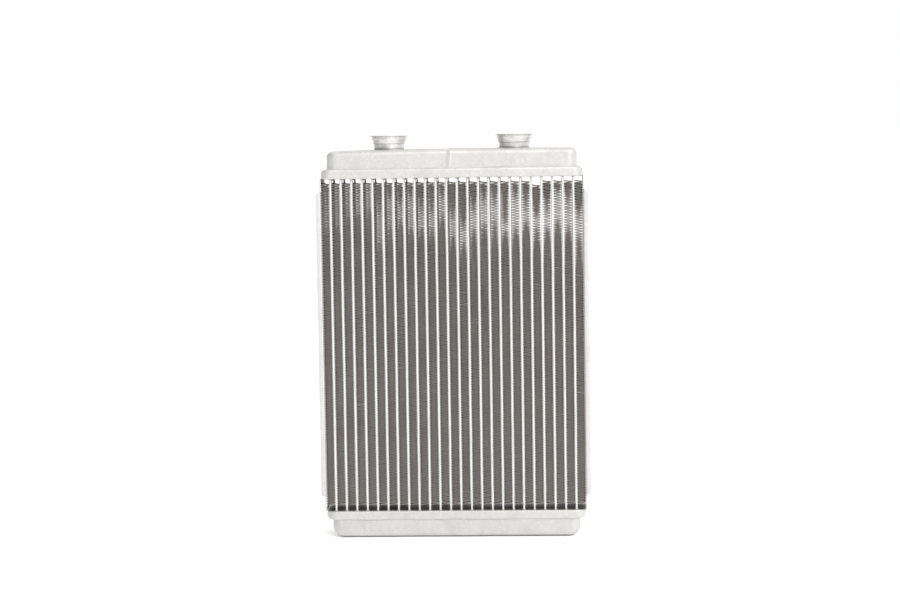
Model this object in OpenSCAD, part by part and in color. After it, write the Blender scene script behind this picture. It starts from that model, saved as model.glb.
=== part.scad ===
/* [Core] */
// Number of flat tubes side by side
tube_count = 24; // [12:2:24]
// Distance from the middle of one tube to the next
tube_pitch = 6.8; // [6.4:0.1:7.6]
// Thickness of a tube across its flat sides
tube_t = 1.4; // [1.2:0.1:1.8]
// Wall thickness of a tube
tube_wall = 0.3; // [0.2:0.05:0.4]
// Depth of the tubes and fins from front to back
core_d = 26; // [20:1:32]
// Clear height between the two header plates
core_h = 216.4; // [120:0.1:260]
// How far the tubes reach into each tank past the header plate
tube_reach = 3; // [1:0.5:5]

/* [Fins] */
// Height of one whole wave of the folded fin strip
fin_wave = 1.68; // [1.4:0.02:3]
// Thickness of the fin strip
fin_t = 0.12; // [0.1:0.01:0.2]
// Bare tube left between the fins and the top header
top_fin_gap = 3.3; // [2:0.1:8]
// Bare tube left between the fins and the bottom header
bottom_fin_gap = 3.3; // [2:0.1:8]

/* [Headers] */
// Width of a header over its rim
header_w = 168.8; // [166:0.2:172]
// Height of a header from its plate to the top of its rim
header_h = 5.8; // [5:0.1:8]
// Sheet thickness of headers and tank covers
sheet_t = 1.2; // [1:0.1:1.5]
// Radius of the header's upright corners
header_corner_r = 6; // [4:0.5:8]
// Radius where the rim's ends curl over
header_end_r = 3.6; // [2:0.1:4]
// Radius where the rim's long sides curl over
header_side_r = 1.6; // [1.4:0.1:2]

/* [Tanks] */
// Width of a tank cover
cover_w = 161.4; // [156:0.2:161.4]
// Radius of the tank covers' upright corners
cover_corner_r = 6; // [4:0.5:8]
// Height of the top tank cover above its header rim
top_cover_rise = 12.6; // [11:0.1:30]
// Height of the bottom tank cover below its header rim
bottom_cover_rise = 11.7; // [11:0.1:30]
// Radius along the front and back edges of the covers
cover_side_r = 3.5; // [2:0.1:6]
// Radius at the ends of the top cover
top_cover_end_r = 4; // [2:0.5:8]
// Radius at the ends of the bottom cover
bottom_cover_end_r = 7; // [2:0.5:9]
// Room between the tube ends and the covers' long walls
cover_clearance = 0.2; // [0.1:0.1:1]

/* [Baffle] */
// Place of the baffle across the top tank
baffle_x = 0; // [-1.5:0.1:1.5]
// Thickness of the baffle plate
baffle_t = 1.2; // [0.8:0.1:1.5]
// Depth of the tab that locks the baffle in the cover
baffle_tab_d = 8; // [4:1:12]
// How far the tab stands above the cover
baffle_tab_rise = 0.4; // [0.2:0.1:1]
// Width of the long flank of the pressed rib that lines up with the baffle
rib_long_w = 2.4; // [1:0.1:4]
// Width of its short flank
rib_short_w = 0.9; // [0.5:0.1:2]
// Height of that rib
rib_h = 0.35; // [0.1:0.05:0.8]

/* [Side plates] */
// Sheet thickness of the side plates
plate_t = 1; // [0.8:0.1:1.5]
// Width of the channel flanges, from the web's inner face
flange_w = 3.6; // [2:0.1:8]
// Length of bare web at each end of the flanges
flange_setback = 9.6; // [6:0.1:20]
// Bevel at the ends of the flanges
flange_bevel = 1; // [0.5:0.1:2]

/* [Necks] */
// Distance between the two pipe necks
neck_spacing = 81; // [60:0.5:100]
// Outer radius of a neck where it enters the tank
neck_root_r = 9.75; // [8:0.05:10]
// Wall thickness of a neck
neck_wall = 1.1; // [0.8:0.1:1.5]
// Height of the straight root above the tank
neck_root_h = 3.1; // [2:0.1:6]
// Height of the cup above the root
neck_cup_h = 4; // [2:0.1:8]
// Height of the step at the foot of the cup
neck_step_h = 0.9; // [0.5:0.1:1.5]
// Outer radius at the bottom of the cup
neck_cup_r = 10.45; // [10.2:0.05:11]
// Outer radius at the top of the cup
neck_mouth_r = 11.35; // [11:0.05:12]
// Outer radius of the turned-out lip
neck_lip_r = 12.4; // [12:0.05:13]
// Height of the lip above the cup
neck_lip_h = 1.6; // [1:0.1:3]
// Thickness of the lip at its edge
neck_lip_t = 0.6; // [0.4:0.1:1]
// How far a neck reaches below the inside of the cover
neck_reach = 1.4; // [1:0.1:3]
// Width of the collar that holds a neck against the inside of the cover
collar_w = 1.2; // [0.5:0.1:2]
// Thickness of that collar
collar_t = 0.8; // [0.5:0.1:1]

/* [Hidden] */
$fn = 64;
function two_digits(n) = n < 10 ? str("0", n) : str(n);
function tube_name(i) = str("tube_", two_digits(i));
function fin_name(i) = str("fin_", two_digits(i));
fin_count = tube_count + 1;

cut = 0.5;
sheet_colour = [0.88, 0.88, 0.86];
tube_colour = [0.93, 0.92, 0.9];
fin_colour = [0.43, 0.41, 0.4];
neck_colour = [0.83, 0.83, 0.82];

// Heights, from the underside of the bottom tank upwards
bottom_plate_z = bottom_cover_rise + header_h;
top_plate_z = bottom_plate_z + core_h;
top_z = top_plate_z + header_h + top_cover_rise;

// Depths, which grow outwards from the tubes
cover_d = core_d + 2 * (cover_clearance + sheet_t);
header_d = cover_d + 2 * sheet_t;

// Places across the core
fin_w = tube_pitch - tube_t;
fin_pack_half = tube_count * tube_pitch / 2 + fin_w / 2;
function tube_x(i) = (i - (tube_count + 1) / 2) * tube_pitch;
function fin_x(i) = (i - (fin_count + 1) / 2) * tube_pitch;

fin_h = core_h - top_fin_gap - bottom_fin_gap;
wave_count = floor(fin_h / fin_wave);
half_wave = fin_h / wave_count / 2;

// Flat outlines

// A rectangle with all four corners rounded
module round_rect(w, d, r) {
    square([w - 2 * r, d], center = true);
    square([w, d - 2 * r], center = true);
    for (x = [-1, 1], y = [-1, 1])
        translate([x * (w / 2 - r), y * (d / 2 - r)]) circle(r);
}

// A rectangle that stands on the X axis, with its upper corners rounded
module arch(w, h, r) {
    translate([-w / 2 + r, 0]) square([w - 2 * r, h]);
    translate([-w / 2, 0]) square([w, h - r]);
    for (x = [-1, 1])
        translate([x * (w / 2 - r), h - r]) circle(r);
}

// The section of a flat tube
module stadium(w, d) {
    square([w, d - w], center = true);
    for (y = [-1, 1])
        translate([0, y * (d - w) / 2]) circle(d = w);
}

// A block with rounded upright corners, rounded ends and rounded long edges
module pressing(w, d, h, corner_r, end_r, side_r) {
    intersection() {
        linear_extrude(h) round_rect(w, d, corner_r);
        rotate([90, 0, 0]) linear_extrude(d + 2, center = true) arch(w, h, end_r);
        rotate([90, 0, 90]) linear_extrude(w + 2, center = true) arch(d, h, side_r);
    }
}

// The same block hollowed to the sheet's thickness and open at the bottom
module hollow_pressing(w, d, h, corner_r, end_r, side_r) {
    t = sheet_t;
    difference() {
        pressing(w, d, h, corner_r, end_r, side_r);
        translate([0, 0, -cut])
            pressing(w - 2 * t, d - 2 * t, h - t + cut, corner_r - t, end_r - t, side_r - t);
    }
}

// Tanks

module cover_shell(rise, end_r) {
    hollow_pressing(cover_w, cover_d, rise + header_h - sheet_t, cover_corner_r, end_r, cover_side_r);
}

module neck_hole(x) {
    translate([x, 0, top_z - 2 * sheet_t]) cylinder(r = neck_root_r, h = 4 * sheet_t);
}

// The pressed rib on the front of the top cover, in line with the baffle
module front_rib() {
    translate([baffle_x, -cover_d / 2, top_plate_z + header_h])
        linear_extrude(top_cover_rise - cover_side_r)
            polygon([
                [-rib_long_w, 0], [-rib_long_w, cut], [rib_short_w, cut], [rib_short_w, 0], [0, -rib_h]
            ]);
}

module tab_slot() {
    translate([baffle_x - baffle_t / 2, -baffle_tab_d / 2, top_z - 2 * sheet_t])
        cube([baffle_t, baffle_tab_d, 4 * sheet_t]);
}

module top_tank() {
    color(sheet_colour) difference() {
        union() {
            translate([0, 0, top_plate_z + sheet_t]) cover_shell(top_cover_rise, top_cover_end_r);
            front_rib();
            mirror([0, 1, 0]) front_rib();
        }
        neck_hole(-neck_spacing / 2);
        neck_hole(neck_spacing / 2);
        tab_slot();
    }
}

module bottom_tank() {
    color(sheet_colour)
        translate([0, 0, bottom_plate_z - sheet_t]) mirror([0, 0, 1])
            cover_shell(bottom_cover_rise, bottom_cover_end_r);
}

// The baffle fills the top tank's section and parts the inlet side from the outlet side
module baffle() {
    baffle_h = header_h - sheet_t + top_cover_rise - sheet_t;
    color(sheet_colour) translate([baffle_x, 0, top_plate_z + sheet_t]) {
        rotate([90, 0, 90]) linear_extrude(baffle_t, center = true)
            arch(cover_d - 2 * sheet_t, baffle_h, cover_side_r - sheet_t);
        translate([-baffle_t / 2, -baffle_tab_d / 2, baffle_h - cut])
            cube([baffle_t, baffle_tab_d, cut + sheet_t + baffle_tab_rise]);
    }
}

// Headers: a slotted plate with a rim that curls over the foot of the tank cover

module header() {
    t = sheet_t;
    difference() {
        pressing(header_w, header_d, header_h, header_corner_r, header_end_r, header_side_r);
        translate([0, 0, t])
            pressing(header_w - 2 * t, header_d - 2 * t, header_h - 2 * t,
                header_corner_r - t, header_end_r - t, header_side_r - t);
        translate([0, 0, t]) linear_extrude(header_h) round_rect(cover_w, cover_d, cover_corner_r);
        for (i = [1:tube_count])
            translate([tube_x(i), 0, -cut]) linear_extrude(t + 2 * cut) stadium(tube_t, core_d);
    }
}

module top_header() {
    color(sheet_colour) translate([0, 0, top_plate_z]) header();
}

module bottom_header() {
    color(sheet_colour) translate([0, 0, bottom_plate_z]) mirror([0, 0, 1]) header();
}

// Core

// A folded sheet tube with a web in the middle that ties its flat sides
module tube(i) {
    reach = sheet_t + tube_reach;
    color(tube_colour) translate([tube_x(i), 0, bottom_plate_z - reach])
        linear_extrude(core_h + 2 * reach) {
            difference() {
                stadium(tube_t, core_d);
                stadium(tube_t - 2 * tube_wall, core_d - 2 * tube_wall);
            }
            square([tube_t, tube_wall], center = true);
        }
}

// Height of fold number k, and the side it lies on
function fold_z(k) = k * half_wave;
function fold_side(k) = k % 2 == 0 ? -1 : 1;

// The strip's right face meets a right fold at the full width and a left fold one thickness short
function right_face(k) = [fold_side(k) * fin_w / 2 + (fold_side(k) < 0 ? fin_t : 0), fold_z(k)];
function left_face(k) = [fold_side(k) * fin_w / 2 - (fold_side(k) > 0 ? fin_t : 0), fold_z(k)];

module fin(i) {
    folds = 2 * wave_count;
    outline = concat(
        [for (k = [0:folds]) right_face(k)],
        [for (k = [folds:-1:0]) left_face(k)]
    );
    color(fin_colour) translate([fin_x(i), 0, bottom_plate_z + bottom_fin_gap])
        rotate([90, 0, 0]) linear_extrude(core_d, center = true) polygon(outline);
}

// Side plates: channels that open outwards, with a bare tongue at each end

module flange(side) {
    flange_h = core_h - 2 * flange_setback;
    b = flange_bevel;
    translate([0, side * (core_d - plate_t) / 2, bottom_plate_z + flange_setback])
        rotate([90, 0, 0]) linear_extrude(plate_t, center = true)
            polygon([
                [0, 0], [flange_w - b, 0], [flange_w, b],
                [flange_w, flange_h - b], [flange_w - b, flange_h], [0, flange_h]
            ]);
}

module side_plate() {
    color(sheet_colour) translate([fin_pack_half, 0, 0]) {
        translate([0, -core_d / 2, bottom_plate_z]) cube([plate_t, core_d, core_h]);
        flange(-1);
        flange(1);
    }
}

module right_side_plate() side_plate();
module left_side_plate() mirror([1, 0, 0]) side_plate();

// Necks: turned spigots with a flared cup and a lip, and a collar inside the tank

module neck() {
    w = neck_wall;
    bore_r = neck_root_r - w;
    cup_z = neck_root_h + neck_step_h;
    mouth_z = neck_root_h + neck_cup_h;
    lip_z = mouth_z + neck_lip_h;
    foot_z = -sheet_t - neck_reach;
    seat_drop = w / 4;
    color(neck_colour) translate([0, 0, top_z]) {
        rotate_extrude() polygon([
            [bore_r, foot_z], [neck_root_r, foot_z], [neck_root_r, neck_root_h],
            [neck_cup_r, cup_z], [neck_mouth_r, mouth_z], [neck_lip_r, lip_z - neck_lip_t],
            [neck_lip_r, lip_z], [neck_lip_r - neck_lip_t, lip_z], [neck_mouth_r - w, mouth_z],
            [neck_cup_r - w, cup_z + seat_drop], [bore_r, neck_root_h + seat_drop]
        ]);
        rotate_extrude() translate([bore_r, -sheet_t - collar_t]) square([w + collar_w, collar_t]);
    }
}

module inlet_neck() translate([-neck_spacing / 2, 0, 0]) neck();
module outlet_neck() translate([neck_spacing / 2, 0, 0]) neck();

top_tank();
bottom_tank();
top_header();
bottom_header();
baffle();
left_side_plate();
right_side_plate();
inlet_neck();
outlet_neck();
for (i = [1:tube_count])
    tube(i);
for (i = [1:fin_count])
    fin(i);
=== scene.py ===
"""The looks of a car heater radiator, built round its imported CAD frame."""

import math

import bmesh
import bpy
import numpy as np
from mathutils import Matrix, Vector


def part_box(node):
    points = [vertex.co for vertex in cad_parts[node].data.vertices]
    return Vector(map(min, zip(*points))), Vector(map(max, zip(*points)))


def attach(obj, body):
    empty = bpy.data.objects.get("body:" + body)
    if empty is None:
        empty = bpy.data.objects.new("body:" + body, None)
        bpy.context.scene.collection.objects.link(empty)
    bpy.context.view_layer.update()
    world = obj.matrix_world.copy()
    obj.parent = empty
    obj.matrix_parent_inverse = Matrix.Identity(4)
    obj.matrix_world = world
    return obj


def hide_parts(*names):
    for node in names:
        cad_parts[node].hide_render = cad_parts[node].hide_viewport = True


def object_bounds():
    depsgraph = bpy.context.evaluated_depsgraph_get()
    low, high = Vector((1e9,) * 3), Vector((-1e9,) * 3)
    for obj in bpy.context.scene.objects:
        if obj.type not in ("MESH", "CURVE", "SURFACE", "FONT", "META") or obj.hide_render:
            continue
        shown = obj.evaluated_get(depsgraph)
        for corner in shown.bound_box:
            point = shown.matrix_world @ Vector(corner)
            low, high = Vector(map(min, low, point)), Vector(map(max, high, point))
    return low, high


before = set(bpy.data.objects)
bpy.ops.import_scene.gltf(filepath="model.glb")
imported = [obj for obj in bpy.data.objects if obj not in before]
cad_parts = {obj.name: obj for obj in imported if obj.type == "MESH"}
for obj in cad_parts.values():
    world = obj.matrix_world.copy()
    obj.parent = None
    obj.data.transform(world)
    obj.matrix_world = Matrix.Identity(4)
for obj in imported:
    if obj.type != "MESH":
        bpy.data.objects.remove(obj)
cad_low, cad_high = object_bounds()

MM = 0.001
ROOT = "root"
QUARTER = math.pi / 2

# Tank covers
SHEET = 1.2 * MM
COVER_CORNER = 6.0 * MM
COVER_SHOULDER = 3.5 * MM
TOP_COVER_END = 4.0 * MM
BOTTOM_COVER_END = 7.0 * MM
CAP_CORNER = 2.6 * MM
CAP_FALL_LEFT = 1.0 * MM
CAP_FALL_RIGHT = 0.45 * MM
TOP_DENTS = (38 * MM, 0.10 * MM)
BOTTOM_DENTS = (34 * MM, 0.12 * MM)
BAFFLE_TAB_RISE = 0.4 * MM
TANK_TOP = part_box("baffle")[1].z - BAFFLE_TAB_RISE
NECK_HOLE = 9.3 * MM
NECK_HOLE_REACH = 4 * MM
NECK_HOLE_SIDES = 96

# The pressed rib on the top cover, in line with the baffle, and the braze over the baffle's tab
RIB_X = sum(corner.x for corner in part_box("baffle")) / 2
RIB_HEIGHT = 0.35 * MM
RIB_LONG = 2.4 * MM
RIB_SHORT = 0.9 * MM
RIB_SLANT = 0.1
RIB_FADE = (8 * MM, 4.5 * MM)
TAB_MOUND_HEIGHT = 0.3 * MM
TAB_MOUND_X = 1.5 * MM
TAB_MOUND_Y = 5.5 * MM
TAB_MOUND_FADE = (0.5, 1.3)

# Headers
HEADER_CORNER = 6.0 * MM
HEADER_SHOULDER = 1.6 * MM
HEADER_END_SHOULDER = 3.4 * MM
HEADER_BEND = 0.7 * MM
HEADER_LIP_END = 1.4 * MM
HEADER_LIP_SIDE = 0.3 * MM
HEADER_DENTS = (22 * MM, 0.06 * MM)
TOP_HEADER_SAG = 0.5 * MM
CORE_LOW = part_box("bottom_header")[1].z
CORE_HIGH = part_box("top_header")[0].z
# The braze along the rim: steps out from the cover and up from the rim, in mm
RIM_BRAZE = ((0.25, 0.06), (0.1, 0.25), (0.02, 0.55))
RIM_BRAZE_REACH = 7 * MM
RIM_BRAZE_HEIGHT = 0.16 * MM
RIM_BRAZE_DIP = 0.1 * MM
RIM_BRAZE_IN = 0.5 * MM
# The braze round a tube: steps out from the tube and down from the plate, in mm
TUBE_BRAZE = (
    (0.62, 0.06), (0.34, 0.10), (0.14, 0.32), (0.02, 0.75), (-0.2, 0.8), (-0.2, -0.4), (0.62, -0.4)
)
TUBE_BRAZE_WANDER = 0.18

# Tubes
TUBE_WALL = 0.3 * MM
TUBE_PITCH = 6.8 * MM
TUBE_ROWS = 90
TUBE_SIDE_SWAY = (26 * MM, 0.035 * MM)
TUBE_NOSE_SWAY = (30 * MM, 0.05 * MM)

# Fins: the strip
FIN_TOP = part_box("fin_03")[1].z
FIN_WAVE = 1.68 * MM
FIN_SHEET = 0.1 * MM
FIN_MARGIN = 0.4 * MM
FIN_EDGE_FLAT = 0.7 * MM
FIN_MIDDLE_FLAT = 1.6 * MM
FIN_END_ROOM = 0.32 * MM
FIN_DRIFT_REACH = 24 * MM
FIN_DRIFT = 0.13 * MM
FIN_JITTER = 0.035 * MM
FIN_STEADY_FOLDS = 8
LATE_FIN = "fin_21"
LATE_FIN_DROP = 2.6 * MM

# Fins: the folds and the louvres
FOLD_DEPTH = 0.26 * MM
FOLD_SHEET = 0.17 * MM
FOLD_OPENING = 0.18 * MM
FILLET = 0.5 * MM
EDGE_JITTER = 0.1 * MM
LOUVRES_PER_BANK = 12
LOUVRE_TILT = math.radians(31)
LOUVRE_JITTER = math.radians(1.6)
BENT_SHARE = 0.04
BENT_TILT = math.radians(16)

# Fins: how far the flanks lean towards the back, which decides where light comes through
FIN_LEAN = math.radians(2.1)
FIN_LEAN_SLANT = math.radians(0.25)
FIN_LEAN_SPREAD = math.radians(0.45)
FIN_LEAN_SWAY = math.radians(0.38)
FIN_LEAN_REACH = 24 * MM
FIN_LEAN_START = 3 * MM
FIN_TWIST = math.radians(0.9)
FIN_TWIST_Z = 205 * MM
FIN_TWIST_REACH = 24 * MM

# Side plates
PLATE = 1.0 * MM
PLATE_BEND = 1.1 * MM
PLATE_EDGE = 0.18 * MM
PLATE_EDGE_ANGLE = math.radians(50)
PLATE_SWAY = (45 * MM, 0.14 * MM)
FLANGE_SETBACK = 9.6 * MM
FLANGE_BEVEL = 1.0 * MM
FLANGE_RELIEF = 0.8 * MM

# Necks, in mm
NECK_BORE = 8.65
NECK_ROOT = 9.75
NECK_CUP = 10.45

# Where the materials change: the two distances between which each change runs
# Where the painted shade over the headers' plates between the tubes runs
CORE_SHADE_X = (83 * MM, 82 * MM)
CORE_SHADE_Y = (12.9 * MM, 11.9 * MM)
CORE_SHADE_FADE = (1 * MM, 2 * MM)
# Where the painted shade line along the long bottom edges runs
FOOT_SHADE_Y = (9.5 * MM, 11.0 * MM)
FOOT_SHADE_Z = (0.5 * MM, 1.2 * MM)
# Where the painted shade on the tube sides runs, and the front part above the fins that is left without it
TUBE_SIDE_Y = (12.7 * MM, 12.0 * MM)
TUBE_UNSHADED_Y = (0.0, 2.5 * MM)
TUBE_BARE_FADE = 0.6 * MM
# Where the painted shade in the fins' pockets beside the tubes runs
POCKET_SHADE_X = (1.4 * MM, 2.0 * MM)
POCKET_SHADE_Y = (12.6 * MM, 11.8 * MM)
FIN_FRONT_Y = (12.2 * MM, 12.7 * MM)
FOLD_BRAZE_X = (1.75 * MM, 2.05 * MM)
NECK_FOOT = (TANK_TOP + 0.1 * MM, TANK_TOP + 1.3 * MM)

# Colours
BRIGHT_BRAZE = (0.86, 0.855, 0.835)
# Painted shade colours: near black for the deepest shade, dark grey for the tube sides between the fins
DEEP_SHADE = (0.03, 0.029, 0.028)
TUBE_SIDE_SHADE = (0.22, 0.21, 0.20)
# The colour of the painted shade over the headers' plates between the tubes
CORE_SHADE = (0.17, 0.16, 0.15)
# The colour of the painted shade line along the long bottom edges
FOOT_SHADE = (0.09, 0.087, 0.085)

# Stage, light and camera
FLOOR_REACH = 400.0
FLOOR_GLOW = 0.22
ROOM_BRIGHT_SIDE = (0.62, 0.2, 0.76)
ROOM_LEVELS = (-0.8, 0.9, 0.25, 1.2)
SUN_SIDE = (0.4, -1.0, 0.6)
SUN_STRENGTH = 1.08
SUN_SPREAD = math.radians(25)
KEY_PLACE = (0.9, -1.3, 1.1)
KEY_TARGET = (0, 0, 0.13)
KEY_SIZE = (0.9, 0.7)
KEY_POWER = 2.5
CAMERA_PLACE = (0.0589, -1.313, 0.2582)
CAMERA_TURN = (-0.0468, 0.0794, -0.0153)
CAMERA_LENS = 80.92
CAMERA_SENSOR = 36
CAMERA_CLIP = (0.05, 1000)

tubes = sorted(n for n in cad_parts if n.startswith("tube_"))
fins = sorted(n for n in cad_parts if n.startswith("fin_"))


# Meshes

def make_object(name, points, faces, material, node, smooth=True):
    """A piece made from an (n, 3) array of points and a list of (m, k) arrays of faces."""
    mesh = bpy.data.meshes.new(name)
    mesh.vertices.add(len(points))
    mesh.vertices.foreach_set("co", np.asarray(points, np.float32).ravel())
    corners = np.concatenate([f.ravel() for f in faces]).astype(np.int32)
    sides = np.concatenate([np.full(len(f), f.shape[1]) for f in faces])
    mesh.loops.add(len(corners))
    mesh.loops.foreach_set("vertex_index", corners)
    mesh.polygons.add(len(sides))
    mesh.polygons.foreach_set("loop_start", (np.cumsum(sides) - sides).astype(np.int32))
    mesh.polygons.foreach_set("use_smooth", np.full(len(sides), smooth))
    mesh.update(calc_edges=True)
    mesh.materials.append(material)
    piece = bpy.data.objects.new(name, mesh)
    bpy.context.scene.collection.objects.link(piece)
    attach(piece, ROOT)
    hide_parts(node)
    return piece


def weld(piece, distance=0.002 * MM):
    """Joins points that lie together and turns every face outwards."""
    work = bmesh.new()
    work.from_mesh(piece.data)
    bmesh.ops.remove_doubles(work, verts=work.verts, dist=distance)
    bmesh.ops.dissolve_degenerate(work, edges=work.edges, dist=distance)
    bmesh.ops.recalc_face_normals(work, faces=work.faces)
    work.to_mesh(piece.data)
    work.free()


def settle(piece):
    """Turns a piece's modifiers into its mesh."""
    evaluated = piece.evaluated_get(bpy.context.evaluated_depsgraph_get())
    mesh = bpy.data.meshes.new_from_object(evaluated)
    piece.modifiers.clear()
    piece.data = mesh


def grid_faces(rows, columns, closed):
    """The quads of a grid of points, rows by columns, whose rows may close on themselves."""
    wrap = columns if closed else columns - 1
    r = np.arange(rows - 1)[:, None] * columns
    c = np.arange(wrap)[None, :]
    after = (c + 1) % columns
    return np.stack([r + c, r + after, r + columns + after, r + columns + c], -1).reshape(-1, 4)


def smoothstep(low, high, x):
    """From 0 at low to 1 at high, level at both."""
    t = np.clip((x - low) / (high - low), 0, 1)
    return t * t * (3 - 2 * t)


SINES = 7
SINE_REACH = (0.6, 1.8)
SINE_SUM = 3


def waves(points, seed, reach, height):
    """A smooth random height over points, from seeded sines of about that reach."""
    rng = np.random.default_rng(seed)
    total = np.zeros(len(points))
    for _ in range(SINES):
        direction = rng.normal(size=3)
        direction *= 2 * math.pi / (reach * rng.uniform(*SINE_REACH) * np.linalg.norm(direction))
        total += np.sin(points @ direction + rng.uniform(0, 2 * math.pi))
    return total * height / SINE_SUM


# Materials

RAMP_SOCKETS = ("From Min", "From Max", "To Min", "To Max")


class Finish:
    """A node material for bare metal, with short ways to add what varies over it."""

    def __init__(self, name, metallic, roughness):
        self.material = bpy.data.materials.new(name)
        self.material.use_nodes = True
        self.tree = self.material.node_tree
        self.shader = self.tree.nodes["Principled BSDF"]
        self.shader.inputs["Metallic"].default_value = metallic
        self.shader.inputs["Roughness"].default_value = roughness
        self.place = self.tree.nodes.new("ShaderNodeTexCoord").outputs["Object"]

    def put(self, source, socket):
        """Links the source to a socket where it is one itself, or sets the socket's value."""
        if isinstance(source, bpy.types.NodeSocket):
            self.tree.links.new(source, socket)
        else:
            socket.default_value = source

    def stretched(self, x, y, z):
        """The piece's own coordinates, with each axis scaled."""
        node = self.tree.nodes.new("ShaderNodeMapping")
        node.inputs["Scale"].default_value = (x, y, z)
        self.put(self.place, node.inputs["Vector"])
        return node.outputs["Vector"]

    def noise(self, size, detail=4, roughness=0.55, at=None, shift=0.0):
        """Noise from 0 to 1 with features of about that size."""
        node = self.tree.nodes.new("ShaderNodeTexNoise")
        node.noise_dimensions = "4D"
        node.inputs["W"].default_value = shift
        node.inputs["Scale"].default_value = 1 / size
        node.inputs["Detail"].default_value = detail
        node.inputs["Roughness"].default_value = roughness
        self.put(at or self.place, node.inputs["Vector"])
        return node.outputs["Fac"]

    def ramp(self, value, start, end, low=0.0, high=1.0):
        """The value remapped from start..end to low..high, smoothly and held at the ends."""
        node = self.tree.nodes.new("ShaderNodeMapRange")
        node.interpolation_type = "SMOOTHSTEP"
        self.put(value, node.inputs["Value"])
        for socket, number in zip(RAMP_SOCKETS, (start, end, low, high)):
            node.inputs[socket].default_value = number
        return node.outputs["Result"]

    def sum_or_product(self, operation, a, b):
        node = self.tree.nodes.new("ShaderNodeMath")
        node.operation = operation
        self.put(a, node.inputs[0])
        self.put(b, node.inputs[1])
        return node.outputs[0]

    def times(self, a, b):
        return self.sum_or_product("MULTIPLY", a, b)

    def plus(self, a, b):
        return self.sum_or_product("ADD", a, b)

    def along(self, axis):
        """The place along an axis of the object."""
        split = self.tree.nodes.new("ShaderNodeSeparateXYZ")
        self.put(self.place, split.inputs["Vector"])
        return split.outputs[axis]

    def off_middle(self, axis, repeat=1.0):
        """The distance along an axis from the object's middle, or from the nearest of its repeats."""
        distance = self.tree.nodes.new("ShaderNodeMath")
        distance.operation = "PINGPONG"
        self.put(self.along(axis), distance.inputs[0])
        distance.inputs[1].default_value = repeat / 2
        return distance.outputs[0]

    def within(self, axis, start, end):
        """From 0 to 1 as the distance from the object's middle falls from start to end."""
        return self.ramp(self.off_middle(axis), end, start, 1.0, 0.0)

    def blend(self, amount, first, second):
        """One colour over another, by an amount from 0 to 1."""
        node = self.tree.nodes.new("ShaderNodeMix")
        node.data_type = "RGBA"
        self.put(amount, node.inputs["Factor"])
        for socket, colour in ((node.inputs[6], first), (node.inputs[7], second)):
            self.put(colour if isinstance(colour, bpy.types.NodeSocket) else (*colour, 1), socket)
        return node.outputs[2]

    def bump(self, height, distance, strength=1.0):
        node = self.tree.nodes.new("ShaderNodeBump")
        node.inputs["Distance"].default_value = distance
        node.inputs["Strength"].default_value = strength
        self.put(height, node.inputs["Height"])
        self.put(node.outputs["Normal"], self.shader.inputs["Normal"])

    def finish(self, colour, roughness=None):
        self.put(colour, self.shader.inputs["Base Color"])
        if roughness is not None:
            self.put(roughness, self.shader.inputs["Roughness"])
        return self.material


def pressed_sheet(name, colour, dull, specks=0.0, shift=0.0, shaded_between_tubes=False):
    """Aluminium sheet after the brazing oven: matt, faintly mottled, with a few stains and specks of
    flux. On the headers, painted shade darkens the plates between the tubes. All of it carries a
    painted shade line along the long edges that it stands on."""
    finish = Finish(name, metallic=0.8, roughness=0.5)
    clouds = finish.ramp(finish.noise(14 * MM, 5, 0.6, shift=shift), 0.35, 0.7)
    grain = finish.noise(0.35 * MM, 3, 0.6, shift=shift + 1)
    drawn = finish.noise(1.0, 3, 0.6, at=finish.stretched(250, 250, 1600), shift=shift + 2)
    stain = finish.ramp(finish.noise(9 * MM, 4, 0.7, shift=shift + 3), 0.62, 0.8, 0.0, 0.35)
    tone = finish.blend(finish.times(clouds, 0.7), colour, dull)
    tone = finish.blend(stain, tone, (0.56, 0.47, 0.42))
    if specks:
        dots = finish.ramp(finish.noise(0.9 * MM, 2, 0.5, shift=shift + 4), 0.70, 0.78, 0.0, specks)
        tone = finish.blend(dots, tone, (0.23, 0.20, 0.18))
    # Painted shade: the plates darken over the core between the tubes, where the fins and tubes shade them
    if shaded_between_tubes:
        over_the_core = finish.times(finish.within("X", *CORE_SHADE_X), finish.within("Y", *CORE_SHADE_Y))
        near, far = CORE_SHADE_FADE
        above_lower = finish.ramp(finish.along("Z"), CORE_LOW - far, CORE_LOW - near)
        below_upper = finish.ramp(finish.along("Z"), CORE_HIGH + near, CORE_HIGH + far, 1.0, 0.0)
        core_shade = finish.times(over_the_core, finish.times(above_lower, below_upper))
        tone = finish.blend(core_shade, tone, CORE_SHADE)
    # Painted shade: a dark line along the long bottom edges, where the underside turns towards the floor and
    # lies in shadow
    foot = finish.ramp(finish.along("Z"), *FOOT_SHADE_Z, 0.9, 0.0)
    foot = finish.times(foot, finish.ramp(finish.off_middle("Y"), *FOOT_SHADE_Y))
    mottle = finish.noise(1.7 * MM, 4, 0.7, shift=shift + 5)
    tone = finish.blend(finish.ramp(mottle, 0.52, 0.68, 0.0, 0.5), tone, dull)
    tone = finish.blend(finish.ramp(mottle, 0.36, 0.46, 0.35, 0.0), tone, (0.80, 0.795, 0.78))
    # The painted shade line along the bottom edges goes over everything else
    tone = finish.blend(foot, tone, FOOT_SHADE)
    worn = finish.plus(finish.ramp(clouds, 0, 1, 0.44, 0.57), finish.times(grain, 0.08))
    fine = finish.plus(finish.times(grain, 0.6), finish.times(drawn, 0.4))
    finish.bump(finish.plus(fine, finish.times(mottle, 1.5)), 0.03 * MM, 0.4)
    return finish.finish(tone, worn)


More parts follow.
